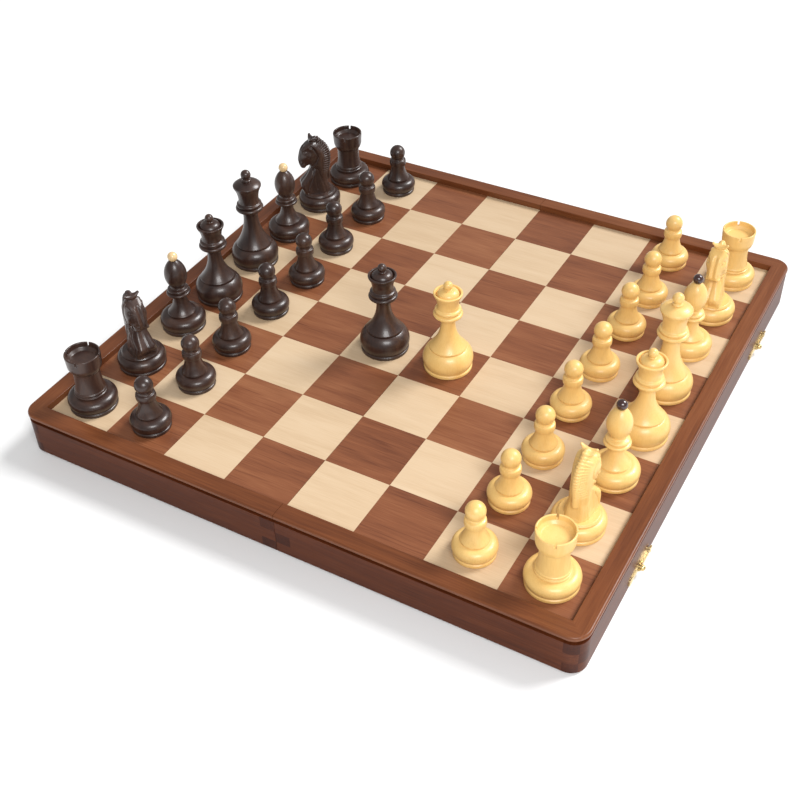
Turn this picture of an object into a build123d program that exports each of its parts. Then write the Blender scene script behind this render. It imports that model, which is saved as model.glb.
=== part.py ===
from build123d import *
import math
import os

os.makedirs("parts", exist_ok=True)

# Folding wooden chess board, opened flat, with its set of turned pieces.
# X runs from the black side (-) to the white side (+), Y from the a-file to the h-file, Z up.
# The origin is under the middle of the fold, on the table.

# ---------------------------------------------------------------- driving dimensions (mm)
SQUARE = 50.0
FIELD = 4 * SQUARE             # half of the playing field
PLAY_Z = 30.0                  # height of the playing surface
KNIFE_LINE = 0.02              # half of the scribed line between two squares
SEAM = 0.15                    # half of the gap along the fold
VENEER = 1.0
PANEL = 6.0

WALL_BASE = 1.2                # lower edge of the walls
WALL_TOP = 28.5
WALL = 12.5                    # thickness of the outer walls
INNER_WALL = 11.0              # thickness of the walls beside the fold
BODY = FIELD + WALL            # half of the body's width
CORNER = 11.0                  # rounding of the body's upright corners
EDGE_BREAK = 0.8
FINGER = (WALL_TOP - WALL_BASE) / 3

RIM_WIDTH = 13.0
RIM_TOP = PLAY_Z + 5.0
RIM_LIP = 2.7                  # thickness of the lip that stands over the cove
COVE = 2.5                     # depth of the cove under the lip
RIM_CORNER = 12.0
RIM_ROUND = 1.6
RIM_INNER_ROUND = 0.5

HINGE_AT = (-130.0, 130.0)     # middle of each hinge along the fold
HINGE_LENGTH = 50.0
BARREL = 1.1                   # outer radius of the knuckles
HINGE_Z = BARREL
PIN = 0.55
PIN_CLEARANCE = 0.04
LEAF_WIDTH = 10.5
LEAF = 1.0
KNUCKLES = 5
KNUCKLE_GAP = 0.1
HINGE_SCREW_X = 6.5
HINGE_SCREW_STEP = 17.0

LATCH_AT = (-119.0, 133.0)     # middle of each latch along the outer walls
LATCH_Z = WALL_BASE + 5.0
LATCH_PLATE = 0.9
HOOK_REACH = 15.0              # pivot to the middle of the hook's notch
HOOK = 1.2
HOOK_GAP = 0.1
POST = 1.2
POST_CLEARANCE = 0.05
NOTCH = 1.5                    # half-width of the hook's notch
KNOB = 2.1                     # radius of the domed rivet and stud heads
KNOB_END = 217.4               # how far the brass stands out from the middle
CATCH_Z = 2 * HINGE_Z - LATCH_Z + HOOK_REACH
LATCH_SCREW_STEP = 14.5

SCREW = 1.0                    # shank radius of the wood screws
SCREW_HEAD = 2.0
SCREW_LENGTH = 8.0
SCREW_FIT = 0.02
SCREW_SLOT = 0.6

SIDES = {"left": -1, "right": 1}
FILES = "abcdefgh"


def save(shape, label):
    shape.label = label
    export_step(shape, "parts/" + label + ".step")


def group(shapes, label):
    save(Compound(label=label, children=shapes), label)


def block(low, high):
    """A plain box between two corners."""
    size = [b - a for a, b in zip(low, high)]
    middle = [(a + b) / 2 for a, b in zip(low, high)]
    with BuildPart(Plane(origin=middle)) as box:
        Box(*size)
    return box.part


def cylinder_along(axis, centre, radius, length):
    """A round bar centred on a point, along the X or the Y axis."""
    direction = {"x": (1, 0, 0), "y": (0, 1, 0)}[axis]
    across = {"x": (0, 1, 0), "y": (0, 0, 1)}[axis]
    with BuildPart() as bar:
        with BuildSketch(Plane(origin=centre, x_dir=across, z_dir=direction)):
            Circle(radius)
        extrude(amount=length / 2, both=True)
    return bar.part


# ---------------------------------------------------------------- board: panel and squares
def play_panel(side):
    """Thin board that carries the squares of one half."""
    s = SIDES[side]
    xs = sorted((s * SEAM, s * FIELD))
    panel = block(
        (xs[0], -FIELD, PLAY_Z - VENEER - PANEL),
        (xs[1], FIELD, PLAY_Z - VENEER),
    )
    save(panel, "play_panel_" + side)


def square_centre(column, row):
    return ((column - 3.5) * SQUARE, (row - 3.5) * SQUARE)


def squares(side, tone):
    """The veneer squares of one tone on one half, each a tile of its own."""
    columns = range(0, 4) if side == "left" else range(4, 8)
    parity = 0 if tone == "light" else 1
    tiles = []
    for column in columns:
        for row in range(8):
            if (column + row) % 2 != parity:
                continue
            x, y = square_centre(column, row)
            low_x = x - SQUARE / 2 + (SEAM if column == 4 else KNIFE_LINE)
            high_x = x + SQUARE / 2 - (SEAM if column == 3 else KNIFE_LINE)
            low_y = y - SQUARE / 2 + KNIFE_LINE
            high_y = y + SQUARE / 2 - KNIFE_LINE
            tiles.append(block((low_x, low_y, PLAY_Z - VENEER), (high_x, high_y, PLAY_Z)))
    group(tiles, tone + "_squares_" + side)


# ---------------------------------------------------------------- board: rim rails
def rim_rail(region):
    """The part of the rim moulding that lies over a plan outline: cove below, rounded lip on top."""
    lip_z = RIM_TOP - RIM_LIP
    with BuildPart() as rail:
        with BuildSketch(Plane.XY.offset(WALL_TOP)):
            core = 2 * (FIELD + RIM_WIDTH - COVE)
            RectangleRounded(core, core, RIM_CORNER - COVE)
            Rectangle(2 * FIELD, 2 * FIELD, mode=Mode.SUBTRACT)
        extrude(amount=lip_z - WALL_TOP)
        with BuildSketch(Plane.XY.offset(lip_z)):
            outer = 2 * (FIELD + RIM_WIDTH)
            RectangleRounded(outer, outer, RIM_CORNER)
            Rectangle(2 * FIELD, 2 * FIELD, mode=Mode.SUBTRACT)
        extrude(amount=RIM_LIP)
        top_face = rail.faces().sort_by(Axis.Z)[-1]
        fillet(top_face.outer_wire().edges(), RIM_ROUND)
        top_face = rail.faces().sort_by(Axis.Z)[-1]
        fillet(top_face.inner_wires()[0].edges(), RIM_INNER_ROUND)
        with BuildSketch(Plane.XY.offset(WALL_TOP)):
            Polygon(*region, align=None)
        extrude(amount=RIM_TOP - WALL_TOP, mode=Mode.INTERSECT)
    return rail.part


def rim(side):
    """Three mitred rails round the outer edges of one half."""
    s = SIDES[side]
    reach = FIELD + RIM_WIDTH + 1
    inner = FIELD - 1
    rails = []
    for end in (-1, 1):
        rails.append(rim_rail([
            (s * SEAM, end * inner),
            (s * SEAM, end * reach),
            (s * reach, end * reach),
            (s * inner, end * inner),
        ]))
    rails.append(rim_rail([
        (s * inner, -inner),
        (s * reach, -reach),
        (s * reach, reach),
        (s * inner, inner),
    ]))
    group(rails, "rim_rails_" + side)


# ---------------------------------------------------------------- board: walls with finger joints
def level(index):
    """Lower and upper height of one finger, counted from the bottom."""
    return (WALL_BASE + index * FINGER, WALL_BASE + (index + 1) * FINGER)


def round_body(part):
    """Trims a wall to the body's rounded corners and broken lower edge."""
    with BuildPart() as trimmed:
        with BuildSketch(Plane.XY.offset(WALL_BASE)):
            RectangleRounded(2 * BODY, 2 * BODY, CORNER)
        extrude(amount=WALL_TOP - WALL_BASE)
        chamfer(trimmed.faces().sort_by(Axis.Z)[0].outer_wire().edges(), EDGE_BREAK)
        add(part, mode=Mode.INTERSECT)
    return trimmed.part


# Fingers that the outer and the inner wall push through the front and back walls.
OUTER_FINGERS = {"left": (0, 2), "right": (0, 2)}
INNER_FINGERS = {"left": (0, 2), "right": (1,)}


def long_wall(side, end):
    """Front or back wall of one half, notched for the fingers of its two neighbours."""
    s = SIDES[side]
    ys = sorted((end * FIELD, end * BODY))
    xs = sorted((s * SEAM, s * BODY))
    corner_xs = sorted((s * FIELD, s * BODY))
    seam_xs = sorted((s * SEAM, s * (SEAM + INNER_WALL)))
    with BuildPart() as wall:
        add(block((xs[0], ys[0], WALL_BASE), (xs[1], ys[1], WALL_TOP)))
        for index in OUTER_FINGERS[side]:
            low, high = level(index)
            add(block((corner_xs[0], ys[0], low), (corner_xs[1], ys[1], high)), mode=Mode.SUBTRACT)
        for index in INNER_FINGERS[side]:
            low, high = level(index)
            add(block((seam_xs[0], ys[0], low), (seam_xs[1], ys[1], high)), mode=Mode.SUBTRACT)
    name = ("front" if end < 0 else "back") + "_wall_" + side
    save(round_body(wall.part), name)


def cross_wall(xs, fingers, top, cuts):
    """A wall along Y whose ends carry fingers; cuts are bodies taken out of it."""
    with BuildPart() as wall:
        add(block((xs[0], -BODY, WALL_BASE), (xs[1], BODY, WALL_TOP)))
        for end in (-1, 1):
            ys = sorted((end * FIELD, end * BODY))
            for index in range(3):
                if index in fingers:
                    continue
                low, high = level(index)
                add(block((xs[0], ys[0], low), (xs[1], ys[1], high)), mode=Mode.SUBTRACT)
        if top < WALL_TOP:
            add(block((xs[0], -FIELD, top), (xs[1], FIELD, WALL_TOP)), mode=Mode.SUBTRACT)
        for cut in cuts:
            add(cut, mode=Mode.SUBTRACT)
    return round_body(wall.part)


def outer_wall(side):
    """Wall opposite the fold, drilled for the screws of the brass on it."""
    s = SIDES[side]
    z = LATCH_Z if side == "right" else CATCH_Z
    cuts = []
    for y, dy, dz in latch_screws(side):
        start = (s * (BODY - SCREW_LENGTH / 2), y + dy, z + dz)
        cuts.append(cylinder_along("x", start, SCREW + SCREW_FIT, SCREW_LENGTH))
    wall = cross_wall(sorted((s * FIELD, s * BODY)), OUTER_FINGERS[side], WALL_TOP, cuts)
    save(wall, "outer_wall_" + side)


def inner_wall(side):
    """Wall beside the fold, with mortises for the hinge leaves and room for the knuckles."""
    s = SIDES[side]
    leaf_xs = sorted((s * SEAM, s * (LEAF_WIDTH + 0.05)))
    cuts = []
    for y in HINGE_AT:
        half = HINGE_LENGTH / 2 + 0.1
        cuts.append(block((leaf_xs[0], y - half, WALL_BASE), (leaf_xs[1], y + half, WALL_BASE + LEAF)))
        cuts.append(cylinder_along("y", (0, y, HINGE_Z), BARREL + 0.3, HINGE_LENGTH + 0.6))
        for dy in (-HINGE_SCREW_STEP, 0, HINGE_SCREW_STEP):
            with BuildPart() as pilot:
                with BuildSketch(Plane.XY.offset(WALL_BASE)):
                    with Locations((s * HINGE_SCREW_X, y + dy)):
                        Circle(SCREW + SCREW_FIT)
                extrude(amount=SCREW_LENGTH)
            cuts.append(pilot.part)
    xs = sorted((s * SEAM, s * (SEAM + INNER_WALL)))
    wall = cross_wall(xs, INNER_FINGERS[side], PLAY_Z - VENEER - PANEL, cuts)
    save(wall, "inner_wall_" + side)


# ---------------------------------------------------------------- brass: screws and hinges
def screw(plane):
    """Countersunk wood screw, its slotted head flush with the plane and its shank behind it."""
    with BuildPart() as body:
        with BuildSketch(plane):
            Circle(SCREW)
        extrude(amount=-SCREW_LENGTH + SCREW_FIT)
        with BuildSketch(plane):
            Circle(SCREW_HEAD)
        with BuildSketch(plane.offset(-LATCH_PLATE)):
            Circle(SCREW)
        loft()
        with BuildSketch(plane):
            Rectangle(SCREW_HEAD * 3, SCREW_SLOT)
        extrude(amount=-SCREW_SLOT, mode=Mode.SUBTRACT)
    return body.part


def screw_seat(plane, thickness):
    """Countersunk hole that a screw of the same plane fills."""
    with BuildPart() as seat:
        with BuildSketch(plane):
            Circle(SCREW + SCREW_FIT)
        extrude(amount=-thickness)
        with BuildSketch(plane):
            Circle(SCREW_HEAD + SCREW_FIT)
        with BuildSketch(plane.offset(-LATCH_PLATE)):
            Circle(SCREW + SCREW_FIT)
        loft()
    return seat.part


def hinge_leaf(side, y):
    """One leaf with its share of the knuckles: the left one has three, the right one two."""
    s = SIDES[side]
    step = HINGE_LENGTH / KNUCKLES
    own = range(0, KNUCKLES, 2) if side == "left" else range(1, KNUCKLES, 2)
    xs = sorted((0, s * LEAF_WIDTH))
    clear = BARREL + 0.25
    with BuildPart() as leaf:
        add(block(
            (xs[0], y - HINGE_LENGTH / 2, WALL_BASE),
            (xs[1], y + HINGE_LENGTH / 2, WALL_BASE + LEAF),
        ))
        for index in range(KNUCKLES):
            middle = y - HINGE_LENGTH / 2 + (index + 0.5) * step
            if index in own:
                knuckle = cylinder_along("y", (0, middle, HINGE_Z), BARREL, step - 2 * KNUCKLE_GAP)
                add(knuckle)
            gap = step / 2 + (KNUCKLE_GAP if index not in own else -KNUCKLE_GAP)
            if index not in own:
                add(block(
                    (-clear, middle - gap, 0), (clear, middle + gap, 2 * HINGE_Z + LEAF),
                ), mode=Mode.SUBTRACT)
        for end in (-1, 1):
            edge = y + end * (HINGE_LENGTH / 2 - KNUCKLE_GAP / 2)
            add(block(
                (-clear, edge - KNUCKLE_GAP / 2, 0), (clear, edge + KNUCKLE_GAP / 2, 2 * HINGE_Z + LEAF),
            ), mode=Mode.SUBTRACT)
        bore = cylinder_along("y", (0, y, HINGE_Z), PIN + PIN_CLEARANCE, HINGE_LENGTH + 2)
        add(bore, mode=Mode.SUBTRACT)
        for plane in hinge_screw_planes(side, y):
            add(screw_seat(plane, LEAF), mode=Mode.SUBTRACT)
    return leaf.part


def hinge_screw_planes(side, y):
    s = SIDES[side]
    planes = []
    for dy in (-HINGE_SCREW_STEP, 0, HINGE_SCREW_STEP):
        place = (s * HINGE_SCREW_X, y + dy, WALL_BASE)
        planes.append(Plane(origin=place, x_dir=(1, 0.4, 0), z_dir=(0, 0, -1)))
    return planes


def hinge_hardware(side):
    """Both hinges' leaves and screws on one half; the pins stay in the left leaves."""
    brass = []
    for y in HINGE_AT:
        brass.append(hinge_leaf(side, y))
        for plane in hinge_screw_planes(side, y):
            brass.append(screw(plane))
        if side == "left":
            brass.append(cylinder_along("y", (0, y, HINGE_Z), PIN, HINGE_LENGTH - 0.4))
    group(brass, "hinge_hardware_" + side)


# ---------------------------------------------------------------- brass: latches
def latch_screws(side):
    """Middle of each latch and the offsets of its screws on one outer wall."""
    if side == "right":
        return [(y, dy, 0) for y in LATCH_AT for dy in (-LATCH_SCREW_STEP, LATCH_SCREW_STEP)]
    return [(y, 0, dz) for y in LATCH_AT for dz in (-5.2, 5.2)]


def wall_plane(side, y, z, out):
    """Plane that faces away from an outer wall, a given distance out of it."""
    s = SIDES[side]
    return Plane(origin=(s * (BODY + out), y, z), x_dir=(0, 1, 0), z_dir=(s, 0, 0))


def knob(side, y, z, start):
    """Round neck and domed head of a rivet or stud."""
    s = SIDES[side]
    neck_end = LATCH_PLATE + HOOK + 2 * HOOK_GAP
    end = KNOB_END - BODY
    plane = Plane(origin=(s * BODY, y, z), x_dir=(s, 0, 0), z_dir=(0, 1, 0))
    with BuildPart() as stud:
        with BuildSketch(plane):
            with BuildLine():
                Polyline((start, 0), (start, POST), (neck_end, POST))
                Polyline((neck_end, POST), (neck_end, KNOB), (end - KNOB, KNOB))
                RadiusArc((end - KNOB, KNOB), (end, 0), KNOB)
                Line((end, 0), (start, 0))
            make_face()
        revolve(axis=Axis((0, y, z), (1, 0, 0)))
    return stud.part


def latch_plate(y):
    """Three-lobed plate on the right outer wall, with the rivet that the hook turns on."""
    with BuildPart() as plate:
        with BuildSketch(wall_plane("right", y, LATCH_Z, 0)):
            SlotOverall(34, 4.2)
            Circle(3.7)
            with Locations((-LATCH_SCREW_STEP, 0), (LATCH_SCREW_STEP, 0)):
                Circle(3.0)
        extrude(amount=LATCH_PLATE)
        add(knob("right", y, LATCH_Z, LATCH_PLATE / 2))
        for dy in (-LATCH_SCREW_STEP, LATCH_SCREW_STEP):
            seat = screw_seat(wall_plane("right", y + dy, LATCH_Z, LATCH_PLATE), LATCH_PLATE)
            add(seat, mode=Mode.SUBTRACT)
    return plate.part


def latch_plates():
    brass = []
    for y in LATCH_AT:
        brass.append(latch_plate(y))
        for dy in (-LATCH_SCREW_STEP, LATCH_SCREW_STEP):
            brass.append(screw(wall_plane("right", y + dy, LATCH_Z, LATCH_PLATE)))
    group(brass, "latch_plates")


def latch_hook(y, name):
    """Swinging hook, stowed along the plate: an eye, an arm and a notched end with a finger tip."""
    plane = wall_plane("right", y, LATCH_Z, LATCH_PLATE + HOOK_GAP)
    with BuildPart() as hook:
        with BuildSketch(plane):
            Circle(2.9)
            with Locations((HOOK_REACH / 2, 0.3)):
                Rectangle(HOOK_REACH, 2.6)
            with Locations((HOOK_REACH, 0)):
                Circle(3.1)
            with Locations((HOOK_REACH + 3.2, 0.9)):
                Circle(1.3)
            Circle(POST + POST_CLEARANCE, mode=Mode.SUBTRACT)
            with Locations((HOOK_REACH, 0)):
                Circle(NOTCH, mode=Mode.SUBTRACT)
            with Locations((HOOK_REACH, -2.5)):
                Rectangle(2 * NOTCH, 5, mode=Mode.SUBTRACT)
        extrude(amount=HOOK)
    save(hook.part, name)


def catch_plates():
    """Small plates on the left outer wall, each with the stud that a hook drops over."""
    brass = []
    for y in LATCH_AT:
        with BuildPart() as plate:
            with BuildSketch(wall_plane("left", y, CATCH_Z, 0)):
                SlotOverall(15.4, 5, rotation=90)
                Circle(3.7)
            extrude(amount=LATCH_PLATE)
            add(knob("left", y, CATCH_Z, LATCH_PLATE / 2))
            for dz in (-5.2, 5.2):
                seat = screw_seat(wall_plane("left", y, CATCH_Z + dz, LATCH_PLATE), LATCH_PLATE)
                add(seat, mode=Mode.SUBTRACT)
        brass.append(plate.part)
        for dz in (-5.2, 5.2):
            brass.append(screw(wall_plane("left", y, CATCH_Z + dz, LATCH_PLATE)))
    group(brass, "catch_plates")


# ---------------------------------------------------------------- turned pieces
# An outline runs from the edge of the foot to the top. Each entry is the next (radius, height);
# an entry with four numbers is a point on an arc and the arc's end.
def base(r, step_r, step_z, widest):
    """Foot ring, groove, swelling and the undercut line below the next part."""
    return [
        (r - 0.9, 0), (r - 0.5, 0.4), (r - 0.5, 2.2), (r - 1.3, 2.8), (r - 1.3, 3.1),
        (r, widest, step_r + 0.5, step_z - 0.7), (step_r - 0.7, step_z - 0.4),
        (step_r + 0.2, step_z + 0.1),
    ]


def ball(neck, radius, middle):
    """A ball on a neck: where the neck meets it, then an arc round its side to its top."""
    start = middle - math.sqrt(radius ** 2 - neck ** 2)
    return [(neck, start), (radius, middle, 0, middle + radius)]


PAWN = base(14.3, 9.3, 12.9, 5.0) + [
    (9.2, 13.8), (6.8, 19.0, 5.7, 25.2),
    (6.8, 25.6), (7.1, 28.2, 6.7, 30.6), (5.4, 31.2),
] + ball(5.0, 6.55, 36.9)
ROOK = base(17.6, 11.6, 12.8, 5.6) + [
    (11.6, 13.7), (10.8, 14.1), (10.8, 14.4), (11.3, 14.9), (11.2, 15.7), (10.6, 16.2),
    (9.4, 24.0, 9.6, 32.0), (11.4, 34.8, 12.2, 38.6), (12.6, 46.0), (12.3, 46.5),
    (11.5, 46.5), (11.2, 46.1), (10.7, 43.2), (8.8, 41.2), (0, 40.8),
]
BISHOP = base(17.2, 10.6, 13.6, 5.6) + [
    (10.5, 14.4), (6.4, 20.6, 5.0, 28.4), (5.4, 29.4),
    (8.1, 30.2), (9.1, 31.4, 8.1, 32.6), (7.0, 33.0), (8.0, 34.2, 7.0, 35.4), (5.4, 36.0),
    (5.0, 37.4), (8.0, 51.0, 2.6, 59.6), (0, 59.6),
]
QUEEN = base(18.3, 13.4, 18.4, 6.8) + [
    (13.3, 19.2), (7.2, 29.0, 5.2, 40.6), (5.6, 44.4),
    (9.2, 46.0), (10.7, 47.4, 9.6, 49.0), (8.5, 49.4), (9.6, 50.8, 8.6, 52.4), (7.9, 53.0),
    (7.7, 56.0), (8.6, 60.2, 10.3, 63.8), (10.5, 65.0), (10.1, 65.4), (9.0, 65.4),
    (8.2, 62.8), (6.4, 66.6, 2.6, 67.8), (2.2, 68.2),
] + ball(2.2, 3.3, 71.0)
KING = base(18.9, 14.0, 17.4, 6.8) + [
    (13.9, 18.2), (7.9, 30.0, 5.8, 44.0), (6.2, 47.6),
    (9.8, 49.0), (11.0, 50.6, 9.8, 52.2), (8.7, 52.6), (9.9, 53.8, 8.8, 55.2), (8.2, 55.8),
    (8.0, 58.0), (8.9, 64.6, 11.1, 69.8), (11.1, 71.0), (7.6, 73.4, 3.0, 74.2),
    (3.8, 75.0), (2.9, 75.8),
] + ball(2.9, 4.0, 79.6)
KNIGHT_BASE = base(17.9, 14.0, 12.8, 5.8) + [(13.6, 13.6), (13.0, 14.4), (0, 14.4)]
ROOK_NOTCH = 1.5               # width of the notches in the cup
ROOK_NOTCH_Z = 43.2            # where they end
FINIAL_SEAT = 59.6
FINIAL = 3.75
FINIAL_Z = 62.5


def turn(outline, x, y):
    """Turns an outline about the upright line over a point of the playing surface."""
    plane = Plane(origin=(x, y, PLAY_Z), x_dir=(1, 0, 0), z_dir=(0, -1, 0))
    with BuildPart() as piece:
        with BuildSketch(plane):
            with BuildLine():
                here = outline[0]
                Line((0, 0), here)
                for entry in outline[1:]:
                    there = entry[-2:]
                    if len(entry) == 4:
                        ThreePointArc(here, entry[:2], there)
                    else:
                        Line(here, there)
                    here = there
                Line(here, (0, 0))
            make_face()
        revolve(axis=Axis((x, y, PLAY_Z), (0, 0, 1)))
    return piece.part


def rook(x, y):
    """Turned tower with four narrow notches in the wall of its cup."""
    with BuildPart() as tower:
        add(turn(ROOK, x, y))
        with BuildSketch(Plane(origin=(x, y, PLAY_Z + ROOK_NOTCH_Z))):
            Rectangle(30, ROOK_NOTCH, rotation=20)
            Rectangle(30, ROOK_NOTCH, rotation=110)
            Circle(9.9, mode=Mode.SUBTRACT)
        extrude(amount=4, mode=Mode.SUBTRACT)
    return tower.part


def finial(x, y):
    """Contrasting ball that is glued on a bishop's flat top."""
    with BuildPart() as ball:
        with Locations((x, y, PLAY_Z + FINIAL_Z)):
            Sphere(FINIAL)
        with BuildSketch(Plane.XY.offset(PLAY_Z + FINIAL_SEAT)):
            with Locations((x, y)):
                Circle(2 * FINIAL)
        extrude(amount=-FINIAL, mode=Mode.SUBTRACT)
    return ball.part


def knight(x, y, heading):
    """Carved horse's head on a turned base: side outline narrowed by a front outline."""
    turn_z = math.radians(heading)
    forward = (math.cos(turn_z), math.sin(turn_z), 0)
    sideways = (-math.sin(turn_z), math.cos(turn_z), 0)
    foot = (x, y, PLAY_Z)
    side_plane = Plane(origin=foot, x_dir=forward, z_dir=[-c for c in sideways])
    front_plane = Plane(origin=foot, x_dir=sideways, z_dir=forward)
    with BuildPart() as head:
        with BuildSketch(side_plane):
            with BuildLine():
                Line((-9.4, 14.4), (-9.2, 16.0))
                ThreePointArc((-9.2, 16.0), (-7.4, 25.0), (-7.8, 34.0))
                ThreePointArc((-7.8, 34.0), (-8.8, 50.0), (1.0, 62.4))
                Polyline((1.0, 62.4), (4.0, 65.2), (6.6, 61.6), (9.6, 59.2))
                ThreePointArc((9.6, 59.2), (14.6, 53.6), (16.0, 45.0))
                ThreePointArc((16.0, 45.0), (15.4, 40.4), (12.6, 38.4))
                ThreePointArc((12.6, 38.4), (9.4, 40.4), (6.4, 39.6))
                ThreePointArc((6.4, 39.6), (9.2, 31.0), (15.4, 23.0))
                ThreePointArc((15.4, 23.0), (15.0, 18.4), (12.0, 14.4))
                Line((12.0, 14.4), (-9.4, 14.4))
            make_face()
        extrude(amount=9.5, both=True)
        with BuildSketch(front_plane):
            with BuildLine():
                Line((-8.6, 14.4), (8.6, 14.4))
                ThreePointArc((8.6, 14.4), (7.0, 26.0), (6.6, 36.0))
                ThreePointArc((6.6, 36.0), (7.4, 46.0), (6.4, 58.0))
                Polyline((6.4, 58.0), (6.8, 65.4), (2.4, 62.6), (-2.4, 62.6), (-6.8, 65.4), (-6.4, 58.0))
                ThreePointArc((-6.4, 58.0), (-7.4, 46.0), (-6.6, 36.0))
                ThreePointArc((-6.6, 36.0), (-7.0, 26.0), (-8.6, 14.4))
            make_face()
        extrude(amount=22, both=True, mode=Mode.INTERSECT)
    with BuildPart() as piece:
        add(turn(KNIGHT_BASE, x, y))
        add(head.part)
    return piece.part


OUTLINES = {"pawn": PAWN, "bishop": BISHOP, "queen": QUEEN, "king": KING}
BACK_RANK = ("rook", "knight", "bishop", "queen", "king", "bishop", "knight", "rook")
# Direction that each knight looks in, in degrees from +X towards +Y.
HEADINGS = {"b8": -24, "g8": -140, "b1": 85, "g1": -88}
# How far pieces were set down from the middle of their squares: along X, along Y.
PLACED = {
    "a8": (-2, -2), "b8": (0.2, 0.5), "c8": (-1, 2.5), "d8": (1, -3),
    "e8": (-1.5, 0.5), "f8": (1, -3), "g8": (-1, -1), "h8": (1, -4),
    "a7": (-0.5, -1.5), "c7": (-2, -2.5), "d7": (-1.5, -1.5), "e7": (1.5, -4),
    "f7": (-2, -3.5), "g7": (-2, -1), "h7": (-0.5, -0.5), "d4": (1.5, 2.5),
    "a2": (0, -1), "b2": (-0.5, -0.5), "c2": (2, -3.5), "d2": (0, -2),
    "e2": (1.5, -3), "f2": (1.5, 0), "g2": (2, -4), "h2": (-0.5, 0.5),
    "a1": (1.5, -0.5), "b1": (-2.5, -1), "c1": (0.5, 0.5), "d1": (2.5, -2.5),
    "e1": (0, -0.5), "f1": (-1, 0.5), "h1": (0.5, 0),
}


def piece(colour, kind, column, row):
    """One chess piece, named after its colour, kind and square."""
    place = FILES[row] + str(8 - column)
    x, y = [a + b for a, b in zip(square_centre(column, row), PLACED.get(place, (0, 0)))]
    if kind == "rook":
        shape = rook(x, y)
    elif kind == "knight":
        shape = knight(x, y, HEADINGS[place])
    else:
        shape = turn(OUTLINES[kind], x, y)
    save(shape, colour + "_" + kind + "_" + place)
    if kind == "bishop":
        save(finial(x, y), colour + "_bishop_ball_" + place)


for half in SIDES:
    play_panel(half)
    squares(half, "light")
    squares(half, "dark")
    rim(half)
    long_wall(half, -1)
    long_wall(half, 1)
    outer_wall(half)
    inner_wall(half)
    hinge_hardware(half)
latch_plates()
latch_hook(LATCH_AT[0], "latch_hook_front")
latch_hook(LATCH_AT[1], "latch_hook_back")
catch_plates()

for file_index, kind in enumerate(BACK_RANK):
    piece("black", kind, 0, file_index)
    piece("black", "pawn", 1, file_index)
    piece("white", "pawn", 6, file_index)
    piece("white", kind, 7, file_index)
piece("black", "queen", 3, 3)
piece("white", "queen", 4, 3)
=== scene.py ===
import math

import bpy
import numpy as np
from mathutils import Matrix, Vector


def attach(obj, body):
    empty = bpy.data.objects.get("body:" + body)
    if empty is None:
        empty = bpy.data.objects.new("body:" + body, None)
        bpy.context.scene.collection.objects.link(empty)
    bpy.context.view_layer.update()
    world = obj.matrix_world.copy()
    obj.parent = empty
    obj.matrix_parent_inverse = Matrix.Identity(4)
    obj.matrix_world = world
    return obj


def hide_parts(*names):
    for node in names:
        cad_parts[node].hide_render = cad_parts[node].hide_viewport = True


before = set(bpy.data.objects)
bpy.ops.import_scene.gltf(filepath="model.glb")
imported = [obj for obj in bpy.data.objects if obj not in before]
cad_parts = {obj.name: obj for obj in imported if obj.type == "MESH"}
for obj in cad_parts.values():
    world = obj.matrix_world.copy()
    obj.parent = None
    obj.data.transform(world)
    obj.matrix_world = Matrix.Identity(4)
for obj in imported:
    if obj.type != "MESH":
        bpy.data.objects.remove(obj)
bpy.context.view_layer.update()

# Folding wooden chess board with its turned and carved pieces, shown opened flat.
# Outlines are in millimetres above the playing surface; everything placed in Blender is in metres.
MM = 0.001
SQUARE = 0.05
PLAY_Z = 0.030

TURN_STEP = 0.22               # mm between two rings of a turned surface
TURN_SIDES = 96
EDGE_PASSES = 1                # how far sanding has rounded the turned edges
CARVE_CELL = 0.4               # mm, fineness of the carved heads
KNIGHT_SEAT = 14.2             # mm, just inside the top of the knight's base
NOTCH_WIDTH = 1.5              # mm, notches in the rook's cup
NOTCH_LOW = 43.2
NOTCH_HIGH = 48.0
EAR_SPAN = 5.2                 # mm from the middle to the tip of an ear


# ---------------------------------------------------------------- outlines of the turned pieces
# Each entry is the next (radius, height); four numbers are a point on an arc and the arc's end.
def base(r, step_r, step_z, widest):
    """Foot ring, groove, swelling and the undercut line below the next part."""
    return [
        (r - 0.9, 0), (r - 0.5, 0.4), (r - 0.5, 2.2), (r - 1.3, 2.8), (r - 1.3, 3.1),
        (r, widest, step_r + 0.5, step_z - 0.7), (step_r - 0.7, step_z - 0.4),
        (step_r + 0.2, step_z + 0.1),
    ]


def ball(neck, radius, middle):
    """A ball on a neck: where the neck meets it, then an arc round its side to its top."""
    start = middle - math.sqrt(radius ** 2 - neck ** 2)
    return [(neck, start), (radius, middle, 0, middle + radius)]


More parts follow.
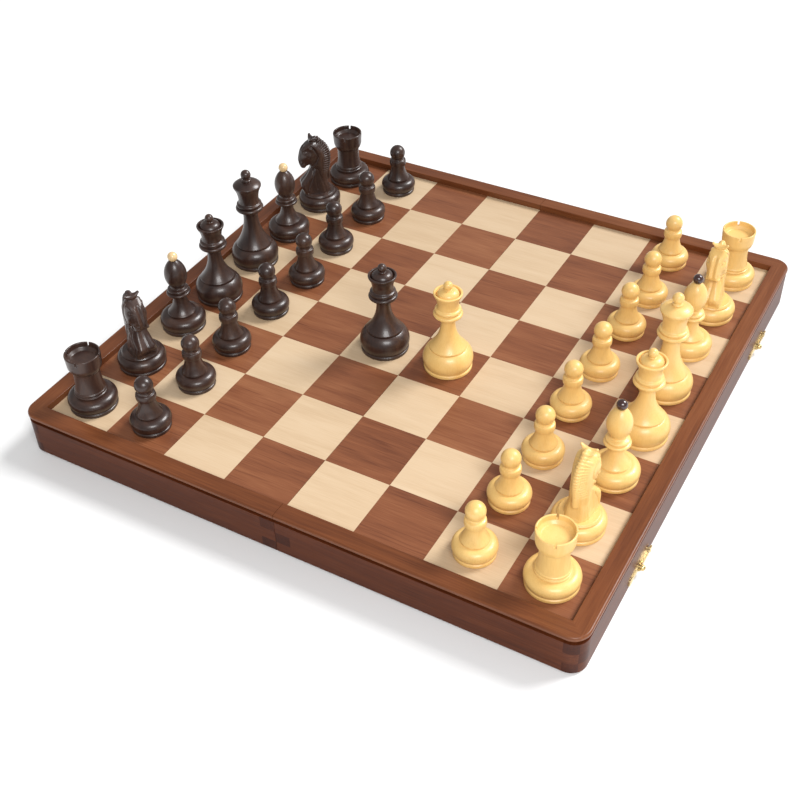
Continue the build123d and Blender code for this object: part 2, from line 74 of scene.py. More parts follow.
OUTLINES = {
    "pawn": base(14.3, 9.3, 12.9, 5.0) + [
        (9.2, 13.8), (6.8, 19.0, 5.7, 25.2),
        (6.8, 25.6), (7.1, 28.2, 6.7, 30.6), (5.4, 31.2),
    ] + ball(5.0, 6.55, 36.9),
    "rook": base(17.6, 11.6, 12.8, 5.6) + [
        (11.6, 13.7), (10.8, 14.1), (10.8, 14.4), (11.3, 14.9), (11.2, 15.7), (10.6, 16.2),
        (9.4, 24.0, 9.6, 32.0), (11.4, 34.8, 12.2, 38.6), (12.6, 46.0), (12.3, 46.5),
        (11.5, 46.5), (11.2, 46.1), (10.7, 43.2), (8.8, 41.2), (0, 40.8),
    ],
    "bishop": base(17.2, 10.6, 13.6, 5.6) + [
        (10.5, 14.4), (6.4, 20.6, 5.0, 28.4), (5.4, 29.4),
        (8.1, 30.2), (9.1, 31.4, 8.1, 32.6), (7.0, 33.0), (8.0, 34.2, 7.0, 35.4), (5.4, 36.0),
        (5.0, 37.4), (8.0, 51.0, 2.6, 59.6), (0, 59.6),
    ],
    "queen": base(18.3, 13.4, 18.4, 6.8) + [
        (13.3, 19.2), (7.2, 29.0, 5.2, 40.6), (5.6, 44.4),
        (9.2, 46.0), (10.7, 47.4, 9.6, 49.0), (8.5, 49.4), (9.6, 50.8, 8.6, 52.4), (7.9, 53.0),
        (7.7, 56.0), (8.6, 60.2, 10.3, 63.8), (10.5, 65.0), (10.1, 65.4), (9.0, 65.4),
        (8.2, 62.8), (6.4, 66.6, 2.6, 67.8), (2.2, 68.2),
    ] + ball(2.2, 3.3, 71.0),
    "king": base(18.9, 14.0, 17.4, 6.8) + [
        (13.9, 18.2), (7.9, 30.0, 5.8, 44.0), (6.2, 47.6),
        (9.8, 49.0), (11.0, 50.6, 9.8, 52.2), (8.7, 52.6), (9.9, 53.8, 8.8, 55.2), (8.2, 55.8),
        (8.0, 58.0), (8.9, 64.6, 11.1, 69.8), (11.1, 71.0), (7.6, 73.4, 3.0, 74.2),
        (3.8, 75.0), (2.9, 75.8),
    ] + ball(2.9, 4.0, 79.6),
    "knight": base(17.9, 14.0, 12.8, 5.8) + [(13.6, 13.6), (13.0, 14.4), (0, 14.4)],
}
FINIAL_OUTLINE = [(0, 59.6), (2.36, 59.6), (3.75, 62.5, 0, 66.25)]

# Direction that each knight looks in, in degrees from +X towards +Y.
HEADINGS = {"b8": -24, "g8": -140, "b1": 85, "g1": -88}
# How far pieces were set down from the middle of their squares, in mm along X and Y.
PLACED = {
    "a8": (-2, -2), "b8": (0.2, 0.5), "c8": (-1, 2.5), "d8": (1, -3),
    "e8": (-1.5, 0.5), "f8": (1, -3), "g8": (-1, -1), "h8": (1, -4),
    "a7": (-0.5, -1.5), "c7": (-2, -2.5), "d7": (-1.5, -1.5), "e7": (1.5, -4),
    "f7": (-2, -3.5), "g7": (-2, -1), "h7": (-0.5, -0.5), "d4": (1.5, 2.5),
    "a2": (0, -1), "b2": (-0.5, -0.5), "c2": (2, -3.5), "d2": (0, -2),
    "e2": (1.5, -3), "f2": (1.5, 0), "g2": (2, -4), "h2": (-0.5, 0.5),
    "a1": (1.5, -0.5), "b1": (-2.5, -1), "c1": (0.5, 0.5), "d1": (2.5, -2.5),
    "e1": (0, -0.5), "f1": (-1, 0.5), "h1": (0.5, 0),
}
FILES = "abcdefgh"


# ---------------------------------------------------------------- mesh building
def mesh_object(name, mesh, place=(0, 0, 0), heading=0.0):
    """A new object that shows a mesh at a place, turned about the upright axis."""
    piece = bpy.data.objects.new(name, mesh)
    piece.location = place
    piece.rotation_euler = (0, 0, math.radians(heading))
    bpy.context.scene.collection.objects.link(piece)
    return piece


def make_mesh(name, points, faces):
    """A smooth-shaded mesh from points in millimetres."""
    mesh = bpy.data.meshes.new(name)
    mesh.from_pydata([tuple(p) for p in np.asarray(points, float) * MM], [], faces)
    mesh.update()
    mesh.polygons.foreach_set("use_smooth", [True] * len(mesh.polygons))
    return mesh


def arc(a, b, c):
    """Points along the circle from a through b to c, without a."""
    ax, az = a
    bx, bz = b[0] - ax, b[1] - az
    cx, cz = c[0] - ax, c[1] - az
    twice = 2 * (bx * cz - bz * cx)
    ux = (cz * (bx * bx + bz * bz) - bz * (cx * cx + cz * cz)) / twice
    uz = (bx * (cx * cx + cz * cz) - cx * (bx * bx + bz * bz)) / twice
    radius = math.hypot(ux, uz)
    start = math.atan2(-uz, -ux)
    full = 2 * math.pi
    to_b = (math.atan2(bz - uz, bx - ux) - start) % full
    to_c = (math.atan2(cz - uz, cx - ux) - start) % full
    if to_b > to_c:
        to_c -= full
    count = max(3, int(abs(to_c) * radius / TURN_STEP))
    angles = [start + to_c * i / count for i in range(1, count + 1)]
    return [(ax + ux + radius * math.cos(t), az + uz + radius * math.sin(t)) for t in angles]


def outline_points(outline):
    """An outline as evenly spaced points with its sharp edges sanded round."""
    points = [outline[0]]
    for entry in outline[1:]:
        if len(entry) == 4:
            points += arc(points[-1], entry[:2], entry[2:])
        else:
            points.append(entry)
    points = np.array(points, float)
    along = np.r_[0, np.cumsum(np.hypot(*np.diff(points, axis=0).T))]
    even = np.linspace(0, along[-1], int(along[-1] / TURN_STEP))
    points = np.stack([np.interp(even, along, points[:, i]) for i in range(2)], 1)
    for _ in range(EDGE_PASSES):
        points[1:-1] = (points[:-2] + 2 * points[1:-1] + points[2:]) / 4
    return points


def turned(outline):
    """Points and faces of a closed turned surface, in millimetres."""
    rings = outline_points(outline)
    if rings[-1][0] < TURN_STEP:
        rings = rings[:-1]
    top_z = outline[-1][-1]
    turn = np.arange(TURN_SIDES) * 2 * math.pi / TURN_SIDES
    circle = np.stack([np.cos(turn), np.sin(turn)], 1)
    points = []
    for radius, height in rings:
        points += [(radius * x, radius * y, height) for x, y in circle]
    faces = []
    for ring in range(len(rings) - 1):
        low = ring * TURN_SIDES
        for i in range(TURN_SIDES):
            j = (i + 1) % TURN_SIDES
            faces.append((low + i, low + j, low + TURN_SIDES + j, low + TURN_SIDES + i))
    top = (len(rings) - 1) * TURN_SIDES
    points += [(0, 0, top_z), (0, 0, rings[0][1])]
    for i in range(TURN_SIDES):
        j = (i + 1) % TURN_SIDES
        faces.append((top + i, top + j, len(points) - 2))
        faces.append((j, i, len(points) - 1))
    return points, faces


def cut_slots(mesh):
    """The four narrow notches in the rim of a rook's cup."""
    tower = mesh_object("rook_blank", mesh)
    cutters = []
    for heading in (20, 110):
        reach, half = 15.0, NOTCH_WIDTH / 2
        heights = (NOTCH_LOW, NOTCH_HIGH)
        corners = [(i * reach, j * half, k) for k in heights for i in (-1, 1) for j in (-1, 1)]
        sides = [(1, 3, 2, 0), (6, 7, 5, 4), (4, 5, 1, 0), (3, 7, 6, 2), (2, 6, 4, 0), (5, 7, 3, 1)]
        cutter = mesh_object("slot", make_mesh("slot", corners, sides), heading=heading)
        cut = tower.modifiers.new("slot", "BOOLEAN")
        cut.operation = "DIFFERENCE"
        cut.solver = "EXACT"
        cut.object = cutter
        cutters.append(cutter)
    view = bpy.context.evaluated_depsgraph_get()
    result = bpy.data.meshes.new_from_object(tower.evaluated_get(view))
    result.name = "rook"
    for thing in cutters + [tower]:
        bpy.data.objects.remove(thing)
    return result


# ---------------------------------------------------------------- carved knight's head
def soft_min(a, b, k):
    """Union of two distances with a fillet of about k."""
    h = np.clip(k - np.abs(a - b), 0, None) / k
    return np.minimum(a, b) - h * h * k / 4


def soft_max(a, b, k):
    return -soft_min(-a, -b, k)


def ease(value, low, high):
    """Smooth step from 0 at low to 1 at high."""
    t = np.clip((value - low) / (high - low), 0, 1)
    return t * t * (3 - 2 * t)


def rounded_loop(corners, steps=8):
    """Closed smooth curve through given corners."""
    c = np.array(corners, float)
    before, after, beyond = np.roll(c, 1, 0), np.roll(c, -1, 0), np.roll(c, -2, 0)
    points = []
    for i in range(len(c)):
        for t in np.arange(steps) / steps:
            points.append(0.5 * (
                2 * c[i] + (after[i] - before[i]) * t
                + (2 * before[i] - 5 * c[i] + 4 * after[i] - beyond[i]) * t ** 2
                + (3 * c[i] - before[i] - 3 * after[i] + beyond[i]) * t ** 3
            ))
    return np.array(points)


def to_line(f, z, points, closed=False):
    """Distance in the side view to a line of points, and how far along it the nearest point is."""
    best = np.full(f.shape, 1e9)
    along = np.zeros(f.shape)
    ends = np.roll(points, -1, 0) if closed else points[1:]
    travelled = 0.0
    for a, b in zip(points, ends):
        run = b - a
        length = math.hypot(*run)
        t = np.clip(((f - a[0]) * run[0] + (z - a[1]) * run[1]) / length ** 2, 0, 1)
        gap = np.hypot(f - a[0] - t * run[0], z - a[1] - t * run[1])
        nearer = gap < best
        best = np.where(nearer, gap, best)
        along = np.where(nearer, travelled + t * length, along)
        travelled += length
    return best, along


def inside_loop(f, z, points):
    inside = np.zeros(f.shape, bool)
    for a, b in zip(points, np.roll(points, -1, 0)):
        crosses = (a[1] > z) != (b[1] > z)
        rise = b[1] - a[1] if b[1] != a[1] else 1e-9
        inside ^= crosses & (f < (b[0] - a[0]) * (z - a[1]) / rise + a[0])
    return inside


# Side view of the head and neck: forwards, up.
HEAD_SIDE = [
    (-9.2, 12.0), (-9.2, 16.0), (-8.0, 21.0), (-7.4, 27.0), (-8.0, 33.0), (-9.0, 40.0),
    (-9.3, 47.0), (-8.0, 53.0), (-4.6, 58.0), (-0.4, 60.8), (3.6, 61.6), (7.4, 60.0),
    (11.0, 57.2), (13.6, 53.2), (15.0, 49.0), (15.8, 45.0), (15.5, 41.6), (14.0, 39.2),
    (11.4, 38.8), (9.4, 40.4), (7.4, 41.0), (6.3, 39.4), (7.2, 35.4), (10.0, 30.2),
    (13.4, 26.0), (15.6, 22.8), (15.0, 19.6), (13.0, 16.0), (11.8, 12.0),
]
MANE = [(1.0, 61.0), (-3.4, 59.2), (-7.0, 55.0), (-9.0, 48.8), (-8.8, 41.0), (-7.6, 34.0), (-7.0, 27.0)]
CHEEK_GROOVE = [(5.4, 58.0), (1.2, 53.6), (-0.2, 48.0), (2.2, 43.0), (6.6, 40.6)]
NECK_GROOVE = [(3.0, 39.0), (4.4, 33.0), (6.4, 27.0), (9.0, 21.4), (9.8, 16.0)]
BACK_GROOVE = [(1.0, 39.0), (-1.4, 31.0), (-4.0, 22.0), (-5.2, 15.6)]
STREAK = [(2.0, 33.0), (2.4, 26.0), (2.0, 19.0)]
MOUTH = [(16.8, 41.8), (14.0, 41.8), (11.8, 43.2)]
BROW = [(6.8, 58.2), (9.4, 57.0), (12.4, 53.8)]
EYE = (10.0, 53.4)
NOSTRIL = (14.6, 43.9)


def head_distance(f, s, z):
    """Signed distance, near enough, to a carved horse's head: forwards, sideways, up."""
    flat_f, flat_z = np.broadcast_arrays(f, z)
    loop = rounded_loop(HEAD_SIDE)
    edge = to_line(flat_f, flat_z, loop, closed=True)[0]
    edge = np.where(inside_loop(flat_f, flat_z, loop), -edge, edge)
    neck = np.interp(flat_z, (14, 19, 27, 36), (8.6, 7.8, 6.9, 6.5))
    head = np.interp(flat_f, (-9, -4, 1, 5, 9, 13, 17), (5.4, 6.4, 6.9, 7.0, 5.8, 4.6, 3.9))
    width = neck + (head - neck) * ease(flat_z, 36, 43)
    side = np.abs(s)
    body = soft_max(edge, side - width, 1.6 + 2.8 * ease(z, 38, 46))

    # flat bevels: the chest narrows upwards, and the flank runs in to the mane
    chest = np.interp(z, (12, 16, 20, 23, 30, 35, 40), (11.8, 13.0, 15.2, 15.6, 10.0, 7.2, 6.3))
    below_jaw = 9.0 * ease(z, 37, 40)
    body = soft_max(
        body, 0.80 * side + 0.60 * (f - chest) - np.interp(z, (16, 38), (5.8, 1.5)) - below_jaw, 0.8)
    nape = np.interp(z, (14, 26, 40, 47, 53, 58, 62), (-9.2, -7.4, -9.0, -9.3, -8.0, -4.6, 0.0))
    body = soft_max(
        body, 0.80 * side - 0.60 * (f - nape) - np.interp(z, (14, 28, 44), (4.6, 3.0, 2.0)), 0.9)

    cheek = np.sqrt((f - 6.2) ** 2 + (z - 49.4) ** 2 + (0.95 * s) ** 2) - 7.3
    body = soft_min(body, cheek, 1.2)
    crest = to_line(flat_f, flat_z, rounded_open(MANE))
    mane = np.sqrt((0.9 * crest[0]) ** 2 + (1.05 * s) ** 2) - 2.5
    body = soft_min(body, mane, 0.8)

    # both ears are the tips of one crescent across the poll
    across = np.clip(side / EAR_SPAN, 0, 1)
    gap = np.sqrt(
        (0.8 * (f - 3.4 - 0.9 * across ** 2)) ** 2 + (z - 62.2 - 2.6 * across ** 2) ** 2
        + np.clip(side - EAR_SPAN, 0, None) ** 2
    )
    body = soft_min(body, gap - (2.3 - 1.3 * across ** 2), 0.8)

    flank = ease(side, 1.8, 3.6)
    for line, depth, reach in (
        (CHEEK_GROOVE, 0.9, 0.8), (NECK_GROOVE, 0.7, 0.6), (BACK_GROOVE, 0.6, 0.6),
        (STREAK, 0.35, 0.5), (MOUTH, 0.6, 0.4), (BROW, -0.4, 0.9),
    ):
        distance = to_line(flat_f, flat_z, rounded_open(line))[0]
        body = body + depth * np.exp(-(distance / reach) ** 2) * flank
    eye = np.hypot(flat_f - EYE[0], 1.3 * (flat_z - EYE[1]))
    body = body + (0.5 * np.exp(-((eye - 1.7) / 0.5) ** 2) - 0.25 * np.exp(-eye ** 2)) * flank
    nostril = np.hypot(flat_f - NOSTRIL[0], 0.7 * (flat_z - NOSTRIL[1]))
    body = body + 0.8 * np.exp(-(nostril / 0.7) ** 2) * flank
    front = ease(f, 8.5, 11.5) * ease(z, 40.5, 44.0) * (1 - ease(z, 56.5, 59.5))
    body = body + front * (0.9 * np.exp(-(s / 1.0) ** 2) - 0.4 * np.exp(-((side - 2.4) / 0.9) ** 2))
    breast = ease(f, 5.5, 8.0) * (1 - ease(z, 34.0, 38.0))
    body = body + 0.5 * breast * np.exp(-(s / 0.8) ** 2)
    comb = np.sin(crest[1] * 2 * math.pi / 2.1 + side * 0.5)
    on_mane = (1 - ease(crest[0], 2.6, 4.0)) * (1 - ease(crest[1], 34, 38))
    return body + (0.1 + 0.34 * comb) * on_mane


def rounded_open(points):
    """Smooth curve through given points, not closed."""
    steps = 6
    loop = rounded_loop(points, steps)
    return loop[:(len(points) - 1) * steps + 1]


def skin(values, low, cell):
    """Points and four-sided faces of the zero surface of a block of distances."""
    inside = values < 0
    corners = [(i, j, k) for i in (0, 1) for j in (0, 1) for k in (0, 1)]
    cells = tuple(n - 1 for n in values.shape)

    def corner(grid, offset):
        return grid[tuple(slice(o, o + n) for o, n in zip(offset, cells))]

    total = np.zeros(cells + (3,))
    count = np.zeros(cells)
    for a in corners:
        for axis in range(3):
            if a[axis]:
                continue
            b = tuple(v + (i == axis) for i, v in enumerate(a))
            crossed = corner(inside, a) != corner(inside, b)
            va, vb = corner(values, a), corner(values, b)
            t = np.where(crossed, va / np.where(crossed, va - vb, 1), 0)
            for i in range(3):
                total[..., i] += crossed * (a[i] + (t if i == axis else 0))
            count += crossed
    used = count > 0
    index = np.full(cells, -1)
    index[used] = np.arange(used.sum())
    where = np.argwhere(used)
    points = (where + total[used] / count[used][:, None]) * cell + low
    faces = []
    for axis in range(3):
        u, v = (axis + 1) % 3, (axis + 2) % 3
        near = np.moveaxis(inside, axis, 0)
        change = np.moveaxis(near[:-1] != near[1:], 0, axis)
        for place in np.argwhere(change):
            if place[u] < 1 or place[v] < 1:
                continue
            if place[u] >= cells[u] or place[v] >= cells[v]:
                continue
            ring = []
            for du, dv in ((0, 0), (-1, 0), (-1, -1), (0, -1)):
                p = place.copy()
                p[u] += du
                p[v] += dv
                ring.append(int(index[tuple(p)]))
            faces.append(tuple(ring if inside[tuple(place)] else ring[::-1]))
    return points, faces


def knight_mesh():
    """Turned base and carved head in one mesh, looking along +X."""
    low = np.array([-13.0, -9.9, 13.4])
    high = np.array([18.2, 9.9, 67.6])
    axes = [np.arange(a, b, CARVE_CELL) for a, b in zip(low, high)]
    values = head_distance(*np.meshgrid(*axes, indexing="ij", sparse=True))
    points, faces = skin(np.maximum(values, KNIGHT_SEAT - axes[2]), low, CARVE_CELL)
    base_points, base_faces = turned(OUTLINES["knight"])
    shift = len(base_points)
    faces = base_faces + [tuple(i + shift for i in face) for face in faces]
    return make_mesh("knight", np.vstack([base_points, points]), faces)


# ---------------------------------------------------------------- materials
class Finish:
    """A procedural material: adds shader nodes and hands back their outputs."""

    def __init__(self, name):
        self.material = bpy.data.materials.new(name)
        self.material.use_nodes = True
        self.nodes = self.material.node_tree.nodes
        self.links = self.material.node_tree.links
        self.shader = self.nodes["Principled BSDF"]

    def feed(self, socket, value):
        if isinstance(value, bpy.types.NodeSocket):
            self.links.new(value, socket)
        else:
            socket.default_value = value

    def add(self, kind, inputs, output=0, **settings):
        node = self.nodes.new("ShaderNode" + kind)
        for key, value in settings.items():
            setattr(node, key, value)
        for key, value in inputs.items():
            self.feed(node.inputs[key], value)
        return node.outputs[output]

    def math(self, operation, a, b=0.0):
        return self.add("Math", {0: a, 1: b}, operation=operation)

    def vector(self, operation, a, b):
        return self.add("VectorMath", {0: a, 1: b}, operation=operation)

    def scaled(self, value, low, high):
        """A 0 to 1 value stretched over another range."""
        return self.add("MapRange", {"Value": value, "To Min": low, "To Max": high})

    def noise(self, place, scale, detail=3.0, distortion=0.0):
        return self.add(
            "TexNoise", {"Vector": self.vector("MULTIPLY", place, scale), "Scale": 1.0,
                         "Detail": detail, "Distortion": distortion})

    def mix(self, factor, a, b, blend="MIX"):
        return self.add(
            "Mix", {0: factor, 6: a, 7: b}, 2, data_type="RGBA", blend_type=blend)

    def ramp(self, factor, stops):
        node = self.nodes.new("ShaderNodeValToRGB")
        self.feed(node.inputs[0], factor)
        elements = node.color_ramp.elements
        while len(elements) < len(stops):
            elements.new(0.5)
        for element, (at, colour) in zip(elements, stops):
            element.position = at
            element.color = (*colour, 1)
        return node.outputs[0]

    def parts(self, vector):
        node = self.nodes.new("ShaderNodeSeparateXYZ")
        self.feed(node.inputs[0], vector)
        return node.outputs

    def join(self, x, y, z):
        return self.add("CombineXYZ", {0: x, 1: y, 2: z})

    def surface(self, colour, roughness, height, depth, **fixed):
        """Connects colour, roughness and relief, and sets the shader's uniform values."""
        self.feed(self.shader.inputs["Base Color"], colour)
        self.feed(self.shader.inputs["Roughness"], roughness)
        bump = self.add("Bump", {"Strength": 0.6, "Distance": depth, "Height": height})
        self.feed(self.shader.inputs["Normal"], bump)
        for key, value in fixed.items():
            self.shader.inputs[key.replace("_", " ")].default_value = value
        return self.material


def at(finish, per_piece=False):
    """Position on the object; with per_piece, shifted for each piece so that no two show the same grain."""
    place = finish.add("TexCoord", {}, "Object")
    if per_piece:
        random = finish.add("ObjectInfo", {}, "Random")
        place = finish.vector("ADD", place, finish.join(random, finish.math("MULTIPLY", random, 7.0), 0.0))
    return place


def square_random(finish, place):
    """A value that is the same over one square and differs between squares."""
    cell = finish.vector("FLOOR", finish.vector("MULTIPLY", place, (1 / SQUARE, 1 / SQUARE, 0.0)), (0, 0, 0))
    return finish.add("TexWhiteNoise", {"Vector": cell}, "Value"), cell


def wood_pattern(finish, grain, figure_scale, fibre_scale):
    """Slow figure and fine fibres, with the grain along the first axis."""
    figure = finish.noise(grain, figure_scale, 4.0, 0.7)
    return figure, finish.noise(grain, fibre_scale, 4.0)


def open_pores(finish, grain, fibre_scale):
    """Short dark pores, coarser than the fibres."""
    pores = finish.noise(grain, tuple(v * 0.6 for v in fibre_scale), 1.0)
    return finish.add("MapRange", {"Value": pores, "From Min": 0.60, "From Max": 0.74})


def piece_wood(name, stops, figure_share, gloss, coat):
    """Turned wood: upright grain, faint turning rings, wax or lacquer on top."""
    finish = Finish(name)
    x, y, z = finish.parts(at(finish, per_piece=True))
    grain = finish.join(z, x, y)
    figure, fibre = wood_pattern(finish, grain, (7, 90, 90), (90, 1500, 1500))
    tone = finish.math("MULTIPLY", figure, figure_share)
    tone = finish.math("ADD", tone, finish.math("MULTIPLY", fibre, 1 - figure_share))
    rings = finish.add("TexNoise", {"Vector": finish.join(0.0, 0.0, z), "Scale": 2600.0, "Detail": 1.0})
    height = finish.math("ADD", finish.math("MULTIPLY", rings, 0.6), finish.math("MULTIPLY", fibre, 0.7))
    return finish.surface(
        finish.ramp(tone, stops), finish.scaled(fibre, gloss - 0.06, gloss + 0.08), height, 0.00005,
        Coat_Weight=coat, Coat_Roughness=0.12, Specular_IOR_Level=0.5)


def veneer(name, stops, figure_share, pore_depth):
    """Veneer squares: each its own leaf, with the grain along X and a satin lacquer."""
    finish = Finish(name)
    place = at(finish)
    value, cell = square_random(finish, place)
    grain = finish.vector("ADD", place, finish.vector("MULTIPLY", cell, (0.37, 0.71, 0.0)))
    fibre_scale = (45, 1300, 1300)
    figure, fibre = wood_pattern(finish, grain, (9, 70, 70), fibre_scale)
    pores = open_pores(finish, grain, fibre_scale)
    tone = finish.math("MULTIPLY", figure, figure_share)
    tone = finish.math("ADD", tone, finish.math("MULTIPLY", fibre, 1 - figure_share))
    tone = finish.math("ADD", tone, finish.scaled(value, -0.07, 0.07))
    tone = finish.math("SUBTRACT", tone, finish.math("MULTIPLY", pores, pore_depth))
    return finish.surface(
        finish.ramp(tone, stops), finish.scaled(fibre, 0.38, 0.52), fibre, 0.00004,
        Coat_Weight=0.08, Coat_Roughness=0.25, Specular_IOR_Level=0.35)


def board_wood(name, stops, along, gloss, end_shade, shine=0.3):
    """Solid stained wood of the box. along is x, y, or rim for mitred rails."""
    finish = Finish(name)
    x, y, z = finish.parts(at(finish))
    normal = finish.parts(finish.add("TexCoord", {}, "Normal"))
    if along == "rim":
        on_side = finish.math("GREATER_THAN", finish.math("ABSOLUTE", x), finish.math("ABSOLUTE", y))
        swap = finish.nodes.new("ShaderNodeMix")
        swap.data_type = "VECTOR"
        finish.feed(swap.inputs[0], on_side)
        finish.feed(swap.inputs[4], finish.join(x, y, z))
        finish.feed(swap.inputs[5], finish.join(y, x, z))
        grain = swap.outputs[1]
        end = 0.0
    else:
        grain = finish.join(x, y, z) if along == "x" else finish.join(y, x, z)
        facing = finish.math("ABSOLUTE", normal[0 if along == "x" else 1])
        end = finish.math("GREATER_THAN", facing, 0.7)
    fibre_scale = (32, 950, 950)
    figure, fibre = wood_pattern(finish, grain, (5, 62, 62), fibre_scale)
    pores = open_pores(finish, grain, fibre_scale)
    tone = finish.math("MULTIPLY", figure, 0.55)
    tone = finish.math("ADD", tone, finish.math("MULTIPLY", fibre, 0.45))
    tone = finish.math("SUBTRACT", tone, finish.math("MULTIPLY", pores, 0.10))
    colour = finish.ramp(tone, stops)
    colour = finish.mix(end, colour, (*end_shade, 1), "MULTIPLY")
    return finish.surface(
        colour, finish.scaled(fibre, gloss - 0.05, gloss + 0.08), fibre, 0.00006,
        Coat_Weight=0.08, Coat_Roughness=0.22, Specular_IOR_Level=shine)


def brass():
    """Lacquered stamped brass with fine scratches and a little tarnish."""
    finish = Finish("latch_brass")
    place = at(finish)
    cloud = finish.noise(place, (90, 90, 90), 4.0)
    scratch = finish.noise(place, (2600, 260, 2600), 2.0)
    colour = finish.ramp(cloud, [(0.30, (0.50, 0.36, 0.15)), (0.62, (0.83, 0.66, 0.34))])
    return finish.surface(
        colour, finish.scaled(scratch, 0.20, 0.42), scratch, 0.00003, Metallic=1.0)


MATERIALS = {
    "boxwood": piece_wood(
        "boxwood_waxed",
        [(0.22, (0.68, 0.41, 0.12)), (0.50, (0.80, 0.51, 0.17)), (0.78, (0.86, 0.59, 0.23))],
        0.6, 0.38, 0.15),
    "dark_piece_wood": piece_wood(
        "dark_lacquered",
        [(0.30, (0.014, 0.006, 0.005)), (0.52, (0.036, 0.016, 0.011)), (0.78, (0.085, 0.040, 0.024))],
        0.7, 0.34, 0.20),
    "pale_ball": piece_wood(
        "ball_pale",
        [(0.25, (0.62, 0.40, 0.18)), (0.75, (0.82, 0.62, 0.34))],
        0.6, 0.28, 0.4),
    "dark_ball": piece_wood(
        "ball_dark",
        [(0.3, (0.016, 0.006, 0.006)), (0.75, (0.06, 0.02, 0.018))],
        0.6, 0.22, 0.6),
    "light_veneer": veneer(
        "veneer_light",
        [(0.20, (0.50, 0.35, 0.21)), (0.50, (0.585, 0.43, 0.275)), (0.80, (0.64, 0.49, 0.33))],
        0.55, 0.04),
    "dark_veneer": veneer(
        "veneer_dark",
        [(0.22, (0.105, 0.030, 0.012)), (0.48, (0.205, 0.068, 0.027)), (0.75, (0.300, 0.120, 0.052))],
        0.60, 0.14),
    "panel_wood": board_wood(
        "panel_plain",
        [(0.25, (0.30, 0.17, 0.08)), (0.75, (0.56, 0.38, 0.20))],
        "x", 0.55, (0.8, 0.8, 0.8)),
    "rim_wood": board_wood(
        "rim_stained",
        [(0.22, (0.075, 0.020, 0.007)), (0.50, (0.155, 0.046, 0.014)), (0.78, (0.240, 0.085, 0.030))],
        "rim", 0.36, (1, 1, 1)),
    "wall_wood": board_wood(
        "wall_stained_x",
        [(0.22, (0.034, 0.008, 0.003)), (0.50, (0.085, 0.020, 0.006)), (0.78, (0.145, 0.040, 0.013))],
        "x", 0.40, (0.62, 0.52, 0.46), 0.12),
    "brass": brass(),
}
CROSS_WALL = board_wood(
    "wall_stained_y",
    [(0.22, (0.034, 0.008, 0.003)), (0.50, (0.085, 0.020, 0.006)), (0.78, (0.145, 0.040, 0.013))],
    "y", 0.40, (0.62, 0.52, 0.46), 0.12)


# ---------------------------------------------------------------- the board keeps its CAD shapes
BOARD_SLOTS = {
    "play_panel": "panel_wood", "light_squares": "light_veneer", "dark_squares": "dark_veneer",
    "rim_rails": "rim_wood", "front_wall": "wall_wood", "back_wall": "wall_wood",
    "hinge_hardware": "brass", "latch": "brass", "catch_plates": "brass",
}


def dress_board():
    for name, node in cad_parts.items():
        material = None
        if name.startswith(("outer_wall", "inner_wall")):
            material = CROSS_WALL
        for start, slot in BOARD_SLOTS.items():
            if name.startswith(start):
                material = MATERIALS[slot]
        if material is None:
            continue
        for slot in node.material_slots:
            slot.material = material


# ---------------------------------------------------------------- the pieces
def show_piece(node, mesh, body, slot, place, heading=0.0):
    """Puts a finished mesh in a CAD node's place."""
    piece = mesh_object(node + "_finished", mesh, place, heading)
    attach(piece, body)
    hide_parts(node)
    piece.material_slots[0].link = "OBJECT"
    piece.material_slots[0].material = MATERIALS[slot]


def standing_place(square):
    """Where the piece of a square stands, from the square's file letter and rank number."""
    column, row = 8 - int(square[1]), FILES.index(square[0])
    off_x, off_y = PLACED.get(square, (0, 0))
    return ((column - 3.5) * SQUARE + off_x * MM, (row - 3.5) * SQUARE + off_y * MM, PLAY_Z)


def set_out_pieces():
    meshes = {"knight": knight_mesh(), "ball": make_mesh("ball", *turned(FINIAL_OUTLINE))}
    for kind, outline in OUTLINES.items():
        if kind != "knight":
            meshes[kind] = make_mesh(kind, *turned(outline))
    meshes["rook"] = cut_slots(meshes["rook"])
    for mesh in meshes.values():
        if not mesh.materials:
            mesh.materials.append(None)
    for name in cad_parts:
        words = name.split("_")
        if words[0] not in ("black", "white"):
            continue
        colour, kind, square = words[0], words[-2], words[-1]
        owner = words[1]
        slot = "boxwood" if colour == "white" else "dark_piece_wood"
        if kind == "ball":
            slot = "dark_ball" if colour == "white" else "pale_ball"
        heading = HEADINGS[square] if kind == "knight" else 0.0
        body = f"{colour}_{owner}_{square}_piece"
        show_piece(name, meshes[kind], body, slot, standing_place(square), heading)


# ---------------------------------------------------------------- floor, light and camera
CAMERA_TURN = 30.53            # degrees from looking along +Y
CAMERA_RISE = 41.17
CAMERA_ROLL = -1.94
CAMERA_DISTANCE = 0.8415
CAMERA_TARGET = Vector((0.0145, -0.073, 0.030))
CAMERA_LENS = 53.43            # mm on a 36 mm sensor


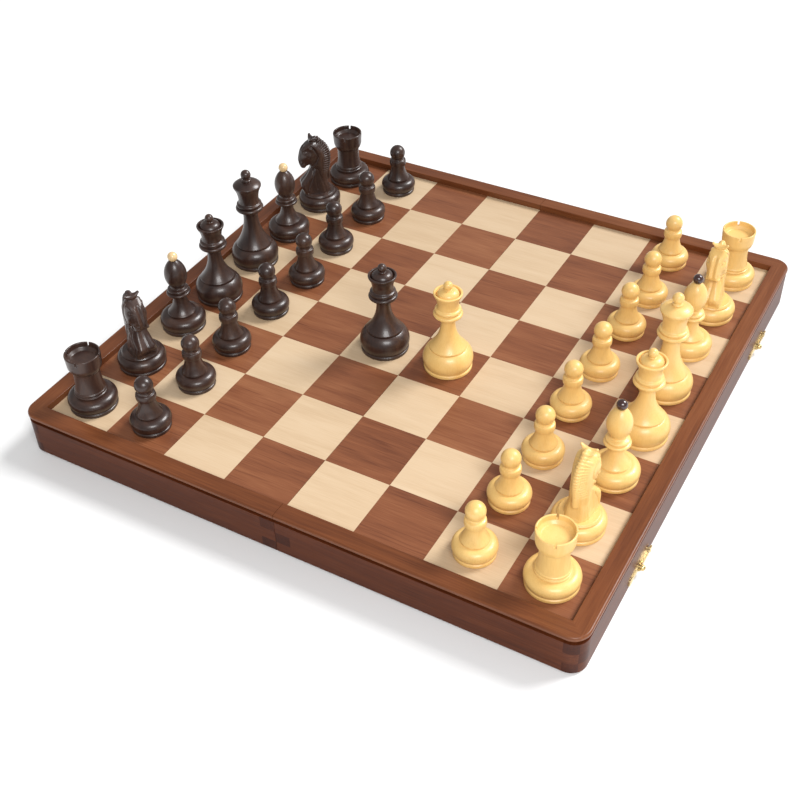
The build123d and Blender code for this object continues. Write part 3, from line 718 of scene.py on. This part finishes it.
def make_camera():
    turn, rise = math.radians(CAMERA_TURN), math.radians(CAMERA_RISE)
    back = Vector((
        math.sin(turn) * math.cos(rise), -math.cos(turn) * math.cos(rise), math.sin(rise)))
    forward = -back
    right = forward.cross(Vector((0, 0, 1))).normalized()
    down = forward.cross(right)
    c, s = math.cos(math.radians(CAMERA_ROLL)), math.sin(math.radians(CAMERA_ROLL))
    right, down = c * right - s * down, s * right + c * down
    data = bpy.data.cameras.new("camera")
    data.lens = CAMERA_LENS
    data.sensor_width = 36
    data.clip_start, data.clip_end = 0.01, 50
    camera = bpy.data.objects.new("camera", data)
    bpy.context.scene.collection.objects.link(camera)
    camera.matrix_world = Matrix.Translation(CAMERA_TARGET + back * CAMERA_DISTANCE) @ Matrix(
        (right, -down, back)).transposed().to_4x4()
    bpy.context.scene.camera = camera


def add_light(name, kind, place, power):
    """A light that shines from a place, or from its direction, at the middle of the board."""
    data = bpy.data.lights.new(name, kind)
    data.energy = power
    light = bpy.data.objects.new(name, data)
    light.location = place
    light.rotation_euler = Vector(place).to_track_quat("Z", "Y").to_euler()
    bpy.context.scene.collection.objects.link(light)
    return data


def make_studio():
    """Pale floor, a soft key light from behind on the right and a soft box in front."""
    finish = Finish("pale_floor")
    place = finish.add("TexCoord", {}, "Object")
    haze = finish.noise(place, (3, 3, 3), 2.0)
    finish.surface(
        finish.ramp(haze, [(0.3, (0.86, 0.86, 0.86)), (0.7, (0.89, 0.89, 0.89))]), 0.7, haze, 0.0001)
    side = 6000.0
    floor = mesh_object("floor", make_mesh(
        "floor", [(-side, -side, 0), (side, -side, 0), (side, side, 0), (-side, side, 0)], [(0, 1, 2, 3)]))
    floor.data.materials.append(finish.material)
    key = add_light("key", "SUN", (0.62, 0.86, 1.05), 3.1)
    key.angle = math.radians(24)
    front_box = add_light("front_box", "AREA", (0.85, -1.05, 1.15), 19)
    front_box.shape = "RECTANGLE"
    front_box.size, front_box.size_y = 0.8, 0.5
    world = bpy.data.worlds.new("studio")
    world.use_nodes = True
    world.node_tree.nodes["Background"].inputs["Color"].default_value = (1, 1, 1, 1)
    world.node_tree.nodes["Background"].inputs["Strength"].default_value = 0.42
    bpy.context.scene.world = world
    bpy.context.scene.view_settings.view_transform = "Standard"


dress_board()
set_out_pieces()
make_camera()
make_studio()
